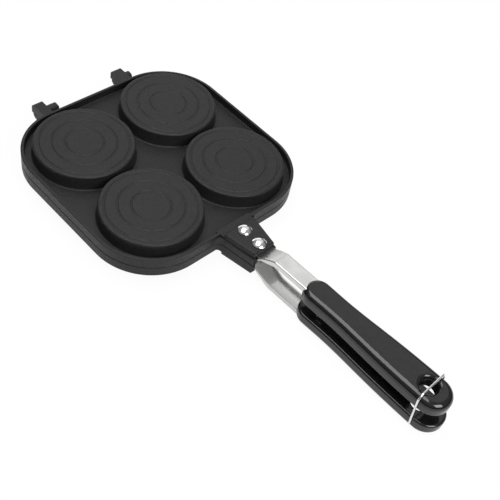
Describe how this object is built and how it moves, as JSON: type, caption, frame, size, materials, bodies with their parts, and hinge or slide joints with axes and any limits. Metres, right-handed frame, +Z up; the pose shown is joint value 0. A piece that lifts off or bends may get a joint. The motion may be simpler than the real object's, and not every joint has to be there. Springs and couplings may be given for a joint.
{
  "type": "double-sided crepe pan",
  "caption": "Hinged double-sided pan with round cups in both halves, long moulded handles and a wire bail that holds it shut.",
  "frame": {"origin": "middle of the bottom of the closed pan's bounding box", "axes": "+Y from the handles towards the hinges, +Z up through the upper half, +X to the right when the handles point at the viewer"},
  "size_m": [0.1946, 0.4258, 0.039],
  "materials": {
    "pan_coating": "dark matte non-stick coating on cast aluminium",
    "bracket_steel": "satin stainless steel sheet",
    "bright_steel": "bright plated steel",
    "handle_plastic": "glossy black moulded plastic"
  },
  "bodies": {
    "lower_half": {"lower_pan": "pan_coating", "left_hinge_pin": "bright_steel", "right_hinge_pin": "bright_steel", "lower_bracket": "bracket_steel", "lower_rear_rivet": "bright_steel", "lower_front_rivet": "bright_steel", "lower_handle": "handle_plastic", "lower_handle_screw": "bright_steel"},
    "upper_half": {"upper_pan": "pan_coating", "upper_bracket": "bracket_steel", "upper_rear_rivet": "bright_steel", "upper_front_rivet": "bright_steel", "upper_handle": "handle_plastic", "upper_handle_screw": "bright_steel"},
    "bail": {"latch_bail": "bright_steel"}
  },
  "joints": [
    {"name": "pan_hinge", "type": "hinge", "parent": "lower_half", "child": "upper_half", "pos_m": [0, 0.20647, 0.0177], "axis": [-1, 0, 0], "range_deg": [0, 180]},
    {"name": "bail_swing", "type": "hinge", "parent": "lower_half", "child": "bail", "pos_m": [0.00429, -0.19567, 0.0057], "axis": [0.9997, 0.0236, 0], "range_deg": [0, 255]}
  ]
}
